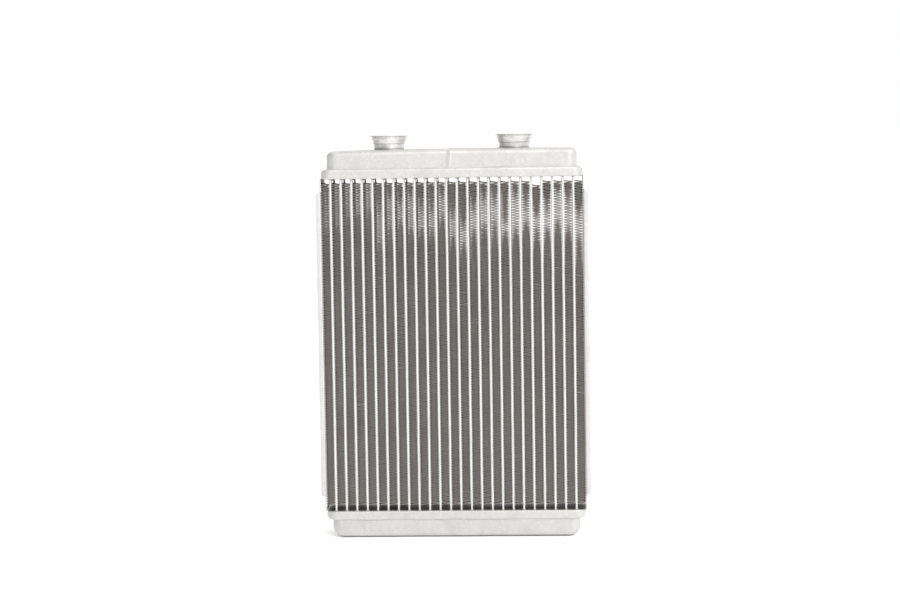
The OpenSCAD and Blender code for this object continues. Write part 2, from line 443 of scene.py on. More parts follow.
def turned_metal(name):
    """A lathe-turned spigot: fine rings, a few stains from the brazing, and a darker band at its foot."""
    finish = Finish(name, metallic=0.85, roughness=0.38)
    rings = finish.noise(1.0, 2, 0.5, at=finish.stretched(20, 20, 5200))
    clouds = finish.noise(5 * MM, 4, 0.6, shift=5)
    tone = finish.blend(finish.ramp(clouds, 0.4, 0.7), (0.72, 0.71, 0.70), (0.56, 0.545, 0.53))
    tone = finish.blend(finish.ramp(rings, 0.45, 0.75, 0.0, 0.25), tone, (0.5, 0.48, 0.46))
    # Darker in a narrow band at the foot, just above the cover
    foot = finish.ramp(finish.off_middle("Z"), *NECK_FOOT, 0.75, 0.0)
    tone = finish.blend(foot, tone, (0.22, 0.215, 0.21))
    finish.bump(rings, 0.03 * MM, 0.5)
    return finish.finish(tone, finish.ramp(rings, 0.3, 0.7, 0.3, 0.46))


def tube_metal():
    """Clad tube: bright, with braze wetted along it in long runs. Its sides carry painted shade: dark
    between the fins, and above the fins near black at the back, with only the front part left bright."""
    finish = Finish("tube_metal", metallic=0.8, roughness=0.42)
    runs = finish.noise(1.0, 4, 0.6, at=finish.stretched(900, 900, 60))
    spots = finish.ramp(finish.noise(1.2 * MM, 3, 0.6, shift=2), 0.6, 0.75, 0.0, 0.5)
    tone = finish.blend(finish.ramp(runs, 0.4, 0.7), BRIGHT_BRAZE, (0.76, 0.745, 0.725))
    tone = finish.blend(spots, tone, (0.62, 0.59, 0.56))
    # Painted shade on the tube sides: dark grey between the fins, near black at the back above the fins,
    # where neighbouring tubes and fins shade them
    sides = finish.within("Y", *TUBE_SIDE_Y)
    bare = finish.ramp(finish.along("Z"), FIN_TOP, FIN_TOP + TUBE_BARE_FADE)
    towards_front = finish.ramp(finish.along("Y"), *TUBE_UNSHADED_Y, 1.0, 0.0)
    unshaded_front = finish.times(finish.times(sides, bare), towards_front)
    dark = finish.times(sides, finish.ramp(unshaded_front, 0, 1, 1.0, 0.0))
    tone = finish.blend(dark, tone, finish.blend(bare, TUBE_SIDE_SHADE, DEEP_SHADE))
    finish.bump(finish.noise(0.5 * MM, 3, 0.6, shift=3), 0.03 * MM, 0.3)
    # Under the painted shade the sheet is made less metallic and rougher, so that it reflects little
    finish.put(finish.ramp(dark, 0, 1, 0.8, 0.15), finish.shader.inputs["Metallic"])
    worn = finish.plus(finish.ramp(runs, 0.3, 0.7, 0.34, 0.5), finish.times(dark, 0.4))
    return finish.finish(tone, finish.plus(worn, finish.times(unshaded_front, -0.22)))


def fin_metal():
    """Thin fin stock, darker and warmer than the rest after the oven, with near black painted shade in
    the pockets beside the tubes, and bright braze on the front and back of its folds."""
    finish = Finish("fin_metal", metallic=0.3, roughness=0.7)
    clouds = finish.noise(18 * MM, 4, 0.6, shift=7)
    grain = finish.noise(0.8 * MM, 3, 0.6, shift=8)
    tone = finish.blend(finish.ramp(clouds, 0.35, 0.7), (0.525, 0.487, 0.46), (0.434, 0.40, 0.378))
    tone = finish.blend(finish.ramp(grain, 0.55, 0.75, 0.0, 0.5), tone, (0.78, 0.76, 0.74))
    # Painted shade: near black in the fins' pockets within about a millimetre of each tube, away from the
    # front and back edges, where the folds lie deep in shade
    by_tube = finish.ramp(finish.off_middle("X", TUBE_PITCH), *POCKET_SHADE_X)
    pocket_shade = finish.times(by_tube, finish.within("Y", *POCKET_SHADE_Y))
    tone = finish.blend(pocket_shade, tone, DEEP_SHADE)
    front = finish.ramp(finish.off_middle("Y"), *FIN_FRONT_Y)
    tone = finish.blend(front, tone, (0.363, 0.335, 0.314))
    braze = finish.times(front, finish.ramp(finish.off_middle("X", TUBE_PITCH), *FOLD_BRAZE_X))
    tone = finish.blend(braze, tone, BRIGHT_BRAZE)
    finish.bump(grain, 0.02 * MM, 0.3)
    return finish.finish(tone, finish.ramp(clouds, 0.3, 0.7, 0.6, 0.75))


def floor_paint():
    """White, a little uneven, and faintly lit from within."""
    finish = Finish("floor_paint", metallic=0.0, roughness=0.7)
    finish.shader.inputs["Emission Color"].default_value = (1, 1, 1, 1)
    finish.shader.inputs["Emission Strength"].default_value = FLOOR_GLOW
    clouds = finish.noise(0.4, 3, 0.5)
    return finish.finish(finish.blend(clouds, (0.90, 0.90, 0.90), (0.87, 0.87, 0.87)))


# Rings: a pressed part is lofted through level outlines with rounded corners

LONG_STATIONS = 124
END_STATIONS = 14
CORNER_STATIONS = 12
WALL_ROWS = 12
SHOULDER_ROWS = 10
CAP_ROWS = 12


def stations(along):
    """Where a ring's points lie, counter-clockwise from the right end: the place between the corner
    centres, from -1 to 1 each way, and the direction that the sheet faces there."""
    across = np.linspace(-1, 1, END_STATIONS + 1)
    turns = np.linspace(0, QUARTER, CORNER_STATIONS + 1)[1:-1]
    sides = ((1, across), (along[::-1], 1), (-1, across[::-1]), (along, -1))
    corners = ((1, 1), (-1, 1), (-1, -1), (1, -1))
    runs = []
    for quarter, (side, corner) in enumerate(zip(sides, corners)):
        facing = quarter * QUARTER
        runs.append(np.stack(np.broadcast_arrays(*side, facing)))
        runs.append(np.stack(np.broadcast_arrays(*corner, facing + turns)))
    return np.concatenate(runs, 1)


PLAIN_STATIONS = stations(np.linspace(-1, 1, LONG_STATIONS + 1))


def ring(places, half_w, half_d, corner, z):
    """The points of a level outline. Each size may differ from point to point."""
    u, v, facing = places
    corner = np.minimum(corner, half_d)
    x = u * (half_w - corner) + corner * np.cos(facing)
    y = v * (half_d - corner) + corner * np.sin(facing)
    return np.stack(np.broadcast_arrays(x, y, z), -1)


def by_side(places, at_ends, at_sides):
    """A size that goes smoothly from its value at the short ends to its value at the long sides."""
    facing = places[2]
    return at_ends * np.cos(facing) ** 2 + at_sides * np.sin(facing) ** 2


def facing_out(places, rise):
    """The way out of a ring's points, where the sheet leans back by that angle."""
    facing = places[2]
    flat = np.cos(rise)
    return np.stack(np.broadcast_arrays(np.cos(facing) * flat, np.sin(facing) * flat, np.sin(rise)), -1)


def sheet_faces(rings, up):
    """The faces between rings, which turn outwards whether the part is upright or upside down."""
    faces = grid_faces(len(rings), rings[0].shape[0], closed=True)
    return faces if up > 0 else faces[:, ::-1]


# Tank covers

RIB_STATIONS = np.concatenate([np.linspace(-1.8, -0.6, 10), np.linspace(-0.54, 0.4, 20)])


def cover_shell(places, half_w, half_d, foot, cap, end_radius):
    """The rings of a pressed cover, from its foot to the middle of its cap, the way out at each point,
    and 1 or -1 as it stands upright or upside down."""
    up = math.copysign(1, cap - foot)
    radius = by_side(places, end_radius, COVER_SHOULDER)
    rings, outs = [], []
    # The wall
    for part in np.linspace(0, 1, WALL_ROWS + 1):
        rings.append(ring(places, half_w, half_d, COVER_CORNER, foot + part * (cap - up * radius - foot)))
        outs.append(facing_out(places, 0.0))
    # The shoulder
    for turn in np.linspace(0, QUARTER, SHOULDER_ROWS + 1)[1:]:
        inset = 1 - math.cos(turn)
        corner = COVER_CORNER + (CAP_CORNER - COVER_CORNER) * inset
        z = cap - up * radius * (1 - math.sin(turn))
        rings.append(ring(places, half_w - end_radius * inset, half_d - COVER_SHOULDER * inset, corner, z))
        outs.append(facing_out(places, up * turn))
    # The cap
    cap_w, cap_d = half_w - end_radius, half_d - COVER_SHOULDER
    for part in np.linspace(0, 1, CAP_ROWS + 1)[1:]:
        rings.append(ring(places, cap_w - cap_d * part, cap_d * (1 - part), CAP_CORNER * (1 - part), cap))
        outs.append(facing_out(places, up * QUARTER))
    return rings, np.array(outs).reshape(-1, 3), up


def rib_height(points, half_d):
    """The pressed rib: up the front and back, over the shoulder, and fading out on the cap."""
    x = points[:, 0] - RIB_X - (points[:, 2] - TANK_TOP) * RIB_SLANT
    section = np.clip(np.where(x < 0, 1 + x / RIB_LONG, 1 - x / RIB_SHORT), 0, 1)
    on_long_sides = smoothstep(half_d - RIB_FADE[0], half_d - RIB_FADE[1], np.abs(points[:, 1]))
    return RIB_HEIGHT * section * on_long_sides


def tab_mound(points, outs):
    """The low swelling of braze where the baffle's tab comes through the cap."""
    far = np.hypot((points[:, 0] - RIB_X) / TAB_MOUND_X, points[:, 1] / TAB_MOUND_Y)
    return TAB_MOUND_HEIGHT * (1 - smoothstep(*TAB_MOUND_FADE, far)) * (outs[:, 2] > 0.9)


def cut_round_hole(piece, x, y, radius, z_low, z_high):
    """Cuts an upright round hole through a piece."""
    work = bmesh.new()
    middle = Matrix.Translation((x, y, (z_low + z_high) / 2))
    bmesh.ops.create_cone(
        work, cap_ends=True, segments=NECK_HOLE_SIDES, radius1=radius, radius2=radius,
        depth=z_high - z_low, matrix=middle,
    )
    mesh = bpy.data.meshes.new("cutter")
    work.to_mesh(mesh)
    work.free()
    cutter = bpy.data.objects.new("cutter", mesh)
    bpy.context.scene.collection.objects.link(cutter)
    hole = piece.modifiers.new("hole", "BOOLEAN")
    hole.operation = "DIFFERENCE"
    hole.solver = "EXACT"
    hole.object = cutter
    settle(piece)
    bpy.data.objects.remove(cutter)


def sheet_metal(piece):
    """Gives an outer skin its thickness, inwards."""
    thick = piece.modifiers.new("sheet", "SOLIDIFY")
    thick.thickness = SHEET
    thick.offset = -1
    settle(piece)


def top_tank(material):
    """The upper cover, with finer stations near its rib, a cap that falls a little to both ends, and
    the holes for the necks."""
    low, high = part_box("top_tank")
    half_d = high.y - RIB_HEIGHT
    near = (RIB_X + RIB_STATIONS * RIB_LONG) / (high.x - COVER_CORNER)
    along = np.linspace(-1, 1, LONG_STATIONS + 1)
    along = np.sort(np.concatenate([along[(along < near[0]) | (along > near[-1])], near]))
    places = stations(along)
    rings, outs, up = cover_shell(places, high.x, half_d, low.z, TANK_TOP, TOP_COVER_END)
    points = np.concatenate(rings)
    rise = waves(points, 11, *TOP_DENTS) + rib_height(points, half_d)
    points = points + outs * (rise + tab_mound(points, outs))[:, None]
    fall = np.where(points[:, 0] < 0, CAP_FALL_LEFT, CAP_FALL_RIGHT) * (points[:, 0] / high.x) ** 2
    points[:, 2] -= fall * (points[:, 2] - low.z) / (TANK_TOP - low.z)
    faces = sheet_faces(rings, up)
    piece = make_object("top_tank_cover", points, [faces], material, "top_tank")
    weld(piece)
    sheet_metal(piece)
    for neck in ("inlet_neck", "outlet_neck"):
        neck_low, neck_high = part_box(neck)
        cut_round_hole(
            piece, (neck_low.x + neck_high.x) / 2, 0, NECK_HOLE,
            TANK_TOP - NECK_HOLE_REACH, TANK_TOP + NECK_HOLE_REACH,
        )


def bottom_tank(material):
    """The lower cover, upside down, with a flat underside."""
    low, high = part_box("bottom_tank")
    rings, outs, up = cover_shell(PLAIN_STATIONS, high.x, high.y, high.z, low.z, BOTTOM_COVER_END)
    points = np.concatenate(rings)
    flat_side = outs[:, 2] < -0.99
    rise = np.where(flat_side, 0, waves(points, 12, *BOTTOM_DENTS))
    points = points + outs * rise[:, None]
    faces = sheet_faces(rings, up)
    piece = make_object("bottom_tank_cover", points, [faces], material, "bottom_tank")
    weld(piece)
    sheet_metal(piece)


# Headers

HEADER_PLATE_ROWS = 10
HEADER_BEND_ROWS = 5
HEADER_WALL_ROWS = 4
HEADER_CURL_ROWS = 8
COLLAR_STATIONS = 10


def stadium(half_t, half_d, turns):
    """The outline of a flat tube's section, counter-clockwise from its right side."""
    arc = np.linspace(0, math.pi, turns + 1)
    nose_x, nose_y = half_t * np.cos(arc), half_t * np.sin(arc) + half_d - half_t
    return np.concatenate([np.stack([nose_x, nose_y], 1), np.stack([-nose_x, -nose_y], 1)])


def braze_collar(centre, half_t, half_d, plate, up, rng):
    """The points and faces of the fillet of braze round a tube, where it leaves the header."""
    rings = []
    for out, rise in TUBE_BRAZE:
        flat = stadium(half_t + out * MM, half_d + out * MM, COLLAR_STATIONS)
        wander = 1 + TUBE_BRAZE_WANDER * rng.standard_normal(len(flat)) * (rise > 0.08)
        z = plate - up * rise * MM * wander
        rings.append(np.column_stack([flat[:, 0] + centre, flat[:, 1], z]))
    rings.append(rings[0])
    faces = grid_faces(len(rings), len(rings[0]), closed=True)
    return np.concatenate(rings), faces if up < 0 else faces[:, ::-1]


def header(node, name, material, cover, seed):
    """A plate whose rim curls over the foot of the tank cover, with its braze."""
    low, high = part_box(node)
    top = high.z > 0.5 * cad_high.z
    plate, rim, up = (low.z - TOP_HEADER_SAG, high.z, 1) if top else (high.z, low.z, -1)
    half_w, half_d = high.x, high.y
    places = PLAIN_STATIONS
    rings, outs = [], []

    def add(w, d, corner, z, rise):
        rings.append(ring(places, w, d, corner, z))
        outs.append(facing_out(places, rise))

    # The plate's outer face, from its middle
    flat_d = half_d - HEADER_BEND
    for part in np.linspace(1, 0, HEADER_PLATE_ROWS + 1)[:-1]:
        w = half_w - HEADER_BEND - flat_d * part
        add(w, flat_d * (1 - part), HEADER_CORNER * (1 - part), plate, -up * QUARTER)
    # The bend, the wall of the rim, and its shoulder
    for turn in np.linspace(0, QUARTER, HEADER_BEND_ROWS + 1):
        inset = HEADER_BEND * (1 - math.sin(turn))
        z = plate + up * HEADER_BEND * (1 - math.cos(turn))
        add(half_w - inset, half_d - inset, HEADER_CORNER - inset, z, -up * (QUARTER - turn))
    shoulder = by_side(places, HEADER_END_SHOULDER, HEADER_SHOULDER)
    wall_foot, wall_top = plate + up * HEADER_BEND, rim - up * shoulder
    for part in np.linspace(0, 1, HEADER_WALL_ROWS + 1)[1:]:
        add(half_w, half_d, HEADER_CORNER, wall_foot + part * (wall_top - wall_foot), 0.0)
    lip_w, lip_d = cover.x + HEADER_LIP_END, cover.y + HEADER_LIP_SIDE
    for turn in np.linspace(0, QUARTER, HEADER_CURL_ROWS + 1)[1:]:
        inset = 1 - math.cos(turn)
        w, d = half_w + (lip_w - half_w) * inset, half_d + (lip_d - half_d) * inset
        add(w, d, HEADER_CORNER, wall_top + up * shoulder * math.sin(turn), up * turn)
    # The braze along the rim, and inside the cover back to the plate's middle
    outline = ring(places, half_w, half_d, HEADER_CORNER, 0)
    wander = waves(outline, seed, RIM_BRAZE_REACH, RIM_BRAZE_HEIGHT)
    for out, rise in RIM_BRAZE:
        height = rim + up * (rise * MM + np.maximum(wander, -RIM_BRAZE_DIP) * (rise > 0.1))
        add(cover.x + out * MM, cover.y + out * MM, COVER_CORNER, height, up * math.pi / 4)
    inner_w, inner_d, inner_corner = cover.x - SHEET / 2, cover.y - SHEET / 2, COVER_CORNER - SHEET / 2
    add(inner_w, inner_d, inner_corner, rim + up * RIM_BRAZE_IN, 0.0)
    for part in np.linspace(0, 1, HEADER_PLATE_ROWS + 1):
        w = inner_w - inner_d * part
        add(w, inner_d * (1 - part), inner_corner * (1 - part), plate + up * SHEET, up * QUARTER)
    points, out = np.concatenate(rings), np.array(outs).reshape(-1, 3)
    dents = waves(points, seed + 1, *HEADER_DENTS)[:, None] * (np.abs(out[:, 2:]) < 0.9)
    points = points + out * dents
    faces = sheet_faces(rings, up)
    rng = np.random.default_rng(seed)
    for tube_name in tubes:
        tube_low, tube_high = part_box(tube_name)
        centre, half_t = (tube_low.x + tube_high.x) / 2, (tube_high.x - tube_low.x) / 2
        collar_points, collar_faces = braze_collar(centre, half_t, tube_high.y, plate, up, rng)
        faces = np.concatenate([faces, collar_faces + len(points)])
        points = np.concatenate([points, collar_points])
    piece = make_object(name, points, [faces], material, node)
    weld(piece)


# Tubes

TUBE_NOSE_TURNS = 12
NOSE_SEEDS = 500


def loft(sections):
    """The points and faces of a closed outline carried through its sections."""
    points = np.concatenate(sections)
    return points, grid_faces(len(sections), len(sections[0]), closed=True)


def tube(name, material, seed):
    """A folded tube: thin walls with a web between the flat sides, open at both ends."""
    low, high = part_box(name)
    middle, half_t, half_d = (low.x + high.x) / 2, (high.x - low.x) / 2, high.y
    outer = stadium(half_t, half_d, TUBE_NOSE_TURNS)
    inner = stadium(half_t - TUBE_WALL, half_d - TUBE_WALL, TUBE_NOSE_TURNS)
    heights = np.linspace(low.z, high.z, TUBE_ROWS + 1)
    sections = [np.column_stack([outer, np.full(len(outer), z)]) for z in heights]
    skin = np.concatenate(sections)
    skin[:, 0] += waves(skin * (0, 1, 1), seed, *TUBE_SIDE_SWAY)
    inwards = np.abs(waves(skin * (0, 0, 1), seed + NOSE_SEEDS, *TUBE_NOSE_SWAY))
    skin[:, 1] -= np.sign(skin[:, 1]) * inwards
    sections = list(skin.reshape(len(heights), len(outer), 3))
    for z in (high.z, low.z):
        sections.append(np.column_stack([inner, np.full(len(inner), z)]))
    sections.append(sections[0])
    points, faces = loft(sections)
    web_x, web_t = half_t - TUBE_WALL / 2, TUBE_WALL / 2
    web = np.array([[web_x, -web_t], [web_x, web_t], [-web_x, web_t], [-web_x, -web_t]])
    web_points, web_faces = loft([np.column_stack([web, np.full(4, z)]) for z in (low.z, high.z)])
    ends = np.array([[3, 2, 1, 0], [4, 5, 6, 7]]) + len(points)
    faces = np.concatenate([faces, web_faces + len(points), ends])
    points = np.concatenate([points, web_points])
    points[:, 0] += middle
    piece = make_object(name + "_formed", points, [faces], material, name)
    weld(piece)


# Fins: a folded strip, whose flanks are cut into louvres and whose folds are rounded ribbons

BOX_FACES = np.array([[0, 2, 3, 1], [4, 5, 7, 6], [0, 1, 5, 4], [2, 6, 7, 3], [0, 4, 6, 2], [1, 3, 7, 5]])
BOX_CORNERS = np.array([[i, j, k] for i in (-1, 1) for j in (-1, 1) for k in (-1, 1)])
# Round a fold: where its ribbon's middle points lie in its opening, and the way out at all seven
FOLD_STEPS = (-1, -0.72, 0, 0.72, 1)
FOLD_OUT_X = (0, 0.3, 0.8, 1, 0.8, 0.3, 0)
FOLD_OUT_Z = (-1, -0.9, -0.6, 0, 0.6, 0.9, 1)
RIBBON_POINTS = 2 * len(FOLD_OUT_X)
LEAN_SEEDS = 700


def flank_slats(depth):
    """The flats and louvres of a flank, front to back: the middle, width and tilt of each."""
    bank = (depth - 2 * FIN_EDGE_FLAT - FIN_MIDDLE_FLAT) / 2
    pitch = bank / LOUVRES_PER_BANK
    steps = (np.arange(LOUVRES_PER_BANK) + 0.5) * pitch
    edge = (depth - FIN_EDGE_FLAT) / 2
    front, back = steps + FIN_EDGE_FLAT - depth / 2, steps + FIN_MIDDLE_FLAT / 2
    ones = np.ones(LOUVRES_PER_BANK)
    middles = np.concatenate([[-edge], front, [0], back, [edge]])
    widths = np.concatenate([[FIN_EDGE_FLAT], ones * pitch, [FIN_MIDDLE_FLAT], ones * pitch, [FIN_EDGE_FLAT]])
    tilts = np.concatenate([[0], ones, [0], -ones, [0]]) * LOUVRE_TILT
    return middles, widths, tilts


def fold_heights(low_z, top, seed, rng):
    """The height of each fold. Their pitch drifts a little, and never at the strip's ends."""
    count = 2 * math.floor((top - low_z) / FIN_WAVE)
    number = np.arange(count + 1)
    heights = np.linspace(low_z + FIN_END_ROOM, top - FIN_END_ROOM, count + 1)
    drift = waves(heights[:, None] * (0, 0, 1), seed, FIN_DRIFT_REACH, FIN_DRIFT)
    free = smoothstep(0, FIN_STEADY_FOLDS, number) * smoothstep(0, FIN_STEADY_FOLDS, count - number)
    return heights + (drift + rng.normal(0, FIN_JITTER, count + 1)) * free


def flank_boxes(starts, ends, width, depth, rng):
    """The points and faces of every flat and louvre, each a thin box. A flank runs across from the
    height of its start to that of its end, and one in a few has a bent front edge."""
    middles, widths, tilts = flank_slats(depth)
    flanks, slats = len(starts), len(middles)
    sides = np.where(np.arange(flanks) % 2 == 0, 1, -1)
    slope = np.arctan2((ends - starts) * sides, width - 2 * FOLD_DEPTH)
    tilt = tilts + rng.normal(0, LOUVRE_JITTER, (flanks, slats))
    bent = rng.random(flanks) < BENT_SHARE
    tilt[:, 0] += np.where(bent, rng.normal(0, BENT_TILT, flanks), 0)
    zero = np.zeros(flanks)
    across = np.stack([np.cos(slope), zero, np.sin(slope)], -1)[:, None]
    above = np.stack([-np.sin(slope), zero, np.cos(slope)], -1)[:, None]
    back = np.array([0, 1, 0])
    cos, sin = np.cos(tilt)[..., None], np.sin(tilt)[..., None]
    half_length = (width / 2 - FIN_MARGIN) / np.cos(slope)
    # Each box's half length, half width and half thickness, with their directions
    axes = np.stack([
        np.broadcast_to(across * half_length[:, None, None], (flanks, slats, 3)),
        (cos * back + sin * above) * widths[:, None] / 2,
        (cos * above - sin * back) * FIN_SHEET / 2,
    ], -2)
    centres = np.zeros((flanks, slats, 1, 3))
    centres[..., 1] = middles[None, :, None]
    centres[..., 2] = ((starts + ends) / 2)[:, None, None]
    points = centres + np.einsum("ca,fsax->fscx", BOX_CORNERS, axes)
    boxes = np.arange(flanks * slats)[:, None, None] * len(BOX_CORNERS)
    return points.reshape(-1, 3), (BOX_FACES + boxes).reshape(-1, 4)


def fold_ribbons(folds, starts, ends, width, depth, rng):
    """The points and faces of every fold: a thin closed strip from one flank round to the next, with the
    braze that fills its corners against the tube."""
    count = len(folds)
    sides = np.where(np.arange(count) % 2 == 0, -1, 1)
    # The ribbon's middle line, from the flank below to the flank above
    part = (FIN_MARGIN - FOLD_DEPTH) / (width - 2 * FOLD_DEPTH)
    climb = (ends - starts) * part
    below = np.concatenate([[folds[0] - FOLD_OPENING - climb[0]], ends - climb])
    above = np.concatenate([starts + climb, [folds[-1] + FOLD_OPENING + climb[-1]]])
    round_the_fold = folds[:, None] + np.array(FOLD_STEPS) * FOLD_OPENING
    z = np.column_stack([below, round_the_fold, above])
    shoulder = FOLD_DEPTH * 0.3 + FOLD_SHEET / 2
    inwards = np.array([FIN_MARGIN, FOLD_DEPTH, shoulder, FOLD_SHEET / 2, shoulder, FOLD_DEPTH, FIN_MARGIN])
    # Its outer and inner face. Two of the outer one's points lie on the tube, where the braze ends
    thick_x = np.array(FOLD_OUT_X) * FOLD_SHEET / 2
    thick_z = np.array(FOLD_OUT_Z) * FOLD_SHEET / 2
    outer_x, inner_x = width / 2 - inwards + thick_x, width / 2 - inwards - thick_x
    outer_z, inner_z = z + thick_z, z - thick_z
    outer_x[[2, 4]] = width / 2
    outer_z[:, [2, 4]] = folds[:, None] + np.array([-1, 1]) * FILLET
    x = np.concatenate([outer_x, inner_x[::-1]]) * sides[:, None]
    z = np.concatenate([outer_z, inner_z[:, ::-1]], 1)
    front = np.abs(rng.normal(0, EDGE_JITTER, count)) - depth / 2
    rear = depth / 2 - np.abs(rng.normal(0, EDGE_JITTER, count))
    rows = [np.stack([x, np.broadcast_to(y[:, None], x.shape), z], -1) for y in (front, rear)]
    points = np.stack(rows, 1)
    # The faces of one ribbon: round it, then its front and back ends
    n = RIBBON_POINTS
    skin = np.array([[i, (i + 1) % n, n + (i + 1) % n, n + i] for i in range(n)])
    cap = np.array([[i, i + 1, n - 2 - i, n - 1 - i] for i in range(n // 2 - 1)])
    faces = np.concatenate([skin, cap[:, ::-1], cap + n])
    faces = np.where((sides > 0)[:, None, None], faces, faces[:, ::-1])
    ribbons = np.arange(count)[:, None, None] * 2 * n
    return points.reshape(-1, 3), (faces + ribbons).reshape(-1, 4)


def lean_of(points, low_z, top, across, seed, rng):
    """How far the flanks drop per length towards the back: a little, and differently in each strip."""
    lean = FIN_LEAN + FIN_LEAN_SLANT * across + rng.normal(0, FIN_LEAN_SPREAD)
    lean = lean + FIN_TWIST * np.tanh((points[:, 2] - FIN_TWIST_Z) / FIN_TWIST_REACH)
    lean = lean + waves(points * (0, 0, 1), seed + LEAN_SEEDS, FIN_LEAN_REACH, FIN_LEAN_SWAY)
    from_end = np.minimum(points[:, 2] - low_z, top - points[:, 2])
    return lean * smoothstep(0, FIN_LEAN_START, from_end)


def fin(name, material, seed):
    """One folded strip between two tubes, from the bottom gap to the top one."""
    rng = np.random.default_rng(seed)
    low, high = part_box(name)
    width, depth = high.x - low.x, high.y - low.y
    top = high.z - (LATE_FIN_DROP if name == LATE_FIN else 0)
    folds = fold_heights(low.z, top, seed, rng)
    starts, ends = folds[:-1] + FOLD_OPENING, folds[1:] - FOLD_OPENING
    points, faces = flank_boxes(starts, ends, width, depth, rng)
    ribbon_points, ribbon_faces = fold_ribbons(folds, starts, ends, width, depth, rng)
    faces = np.concatenate([faces, ribbon_faces + len(points)])
    points = np.concatenate([points, ribbon_points])
    across = (low.x + high.x) / (2 * cad_high.x)
    points[:, 2] -= points[:, 1] * lean_of(points, low.z, top, across, seed, rng)
    points[:, 0] += (low.x + high.x) / 2
    make_object(name + "_folded", points, [faces], material, name, smooth=False)


# Side plates

TONGUE_ROWS = (0, 4 * MM, 8 * MM, FLANGE_SETBACK - FLANGE_RELIEF)
CHANNEL_ROWS = 45
FLANGE_COLUMNS = 5
PLATE_BEND_COLUMNS = 5
WEB_COLUMNS = 8


def side_plate(node, name, material, seed):
    """A channel that opens outwards, with a bare tongue at each end of its web. Its section runs from
    the front flange's tip to the back one's, and its rows from the bottom to the top."""
    low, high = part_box(node)
    side = 1 if high.x > 0 else -1
    web_x = low.x if side > 0 else high.x
    flange = high.x - low.x
    half_d, height = high.y, high.z - low.z
    # The section: a half, from the flange's tip over the bend to the web's middle, and its mirror image
    turns = np.linspace(0, QUARTER, PLATE_BEND_COLUMNS + 1)[1:]
    tip_out = np.linspace(flange, PLATE_BEND, FLANGE_COLUMNS)
    bend_out = PLATE_BEND * (1 - np.sin(turns))
    bend_y = half_d - PLATE_BEND * (1 - np.cos(turns))
    web_y = np.linspace(half_d - PLATE_BEND, 0, WEB_COLUMNS + 1)[1:]
    out = np.concatenate([tip_out, bend_out, np.zeros(len(web_y))])
    depth = np.concatenate([np.full(len(tip_out), half_d), bend_y, web_y])
    out, depth = np.concatenate([out, out[-2::-1]]), np.concatenate([-depth, depth[-2::-1]])
    on_web = out < 1e-9
    # The rows' heights: the lower tongue and half of the channel, and their mirror image
    run = np.linspace(FLANGE_SETBACK, height / 2, CHANNEL_ROWS)
    run = np.insert(run, 1, FLANGE_SETBACK + FLANGE_BEVEL)
    rows = np.concatenate([TONGUE_ROWS, run])
    rows = np.concatenate([rows, height - rows[-2::-1]])
    # The points, with the flanges' ends bevelled and the tongues as wide as the whole plate
    z, across = np.meshgrid(rows, np.arange(len(out)), indexing="ij")
    from_end = np.minimum(z, height - z)
    bevel = np.clip((from_end - FLANGE_SETBACK) / FLANGE_BEVEL, 0, 1)
    short = 1 - (1 - bevel) * FLANGE_BEVEL / flange
    points = np.stack([out[across] * np.where(on_web[across], 1, short), depth[across], z], -1)
    bare = from_end < FLANGE_SETBACK - FLANGE_RELIEF / 2
    points[..., 1] *= np.where(bare & on_web[across], half_d / (half_d - PLATE_BEND), 1)
    # The flanges' uneven edges: a little shorter, and a little towards each other
    flat = points.reshape(-1, 3)
    sway = np.abs(waves(flat * (0, 0, 1), seed, *PLATE_SWAY)).reshape(z.shape)
    points[..., 0] += np.where(on_web[across], 0, -sway * points[..., 0] / flange)
    points[..., 1] += np.where(on_web[across], 0, -np.sign(points[..., 1]) * sway)
    # The faces, without flanges beside the tongues
    faces = grid_faces(len(rows), len(out), closed=False)
    flange_face = ~(on_web[:-1] & on_web[1:])
    bare_face = bare[:-1, :-1] | bare[1:, :-1]
    faces = faces[~(flange_face[None, :] & bare_face).ravel()]
    flat = points.reshape(-1, 3) * (side, 1, 1) + (web_x, 0, low.z)
    faces = faces if side > 0 else faces[:, ::-1]
    piece = make_object(name, flat, [faces], material, node)
    # The sheet's thickness and its eased edges
    thick = piece.modifiers.new("sheet", "SOLIDIFY")
    thick.thickness = PLATE
    thick.offset = 1
    settle(piece)
    edge = piece.modifiers.new("edge", "BEVEL")
    edge.width = PLATE_EDGE
    edge.segments = 2
    edge.limit_method = "ANGLE"
    edge.angle_limit = PLATE_EDGE_ANGLE
    settle(piece)


# Necks

NECK_SEGMENTS = 144


def arc_points(centre, radius_r, radius_z, start, end, steps):
    """Points of a neck's section round an arc, from one angle in degrees to another."""
    turns = np.radians(np.linspace(start, end, steps + 1))
    return [(centre[0] + radius_r * math.cos(t), centre[1] + radius_z * math.sin(t)) for t in turns]


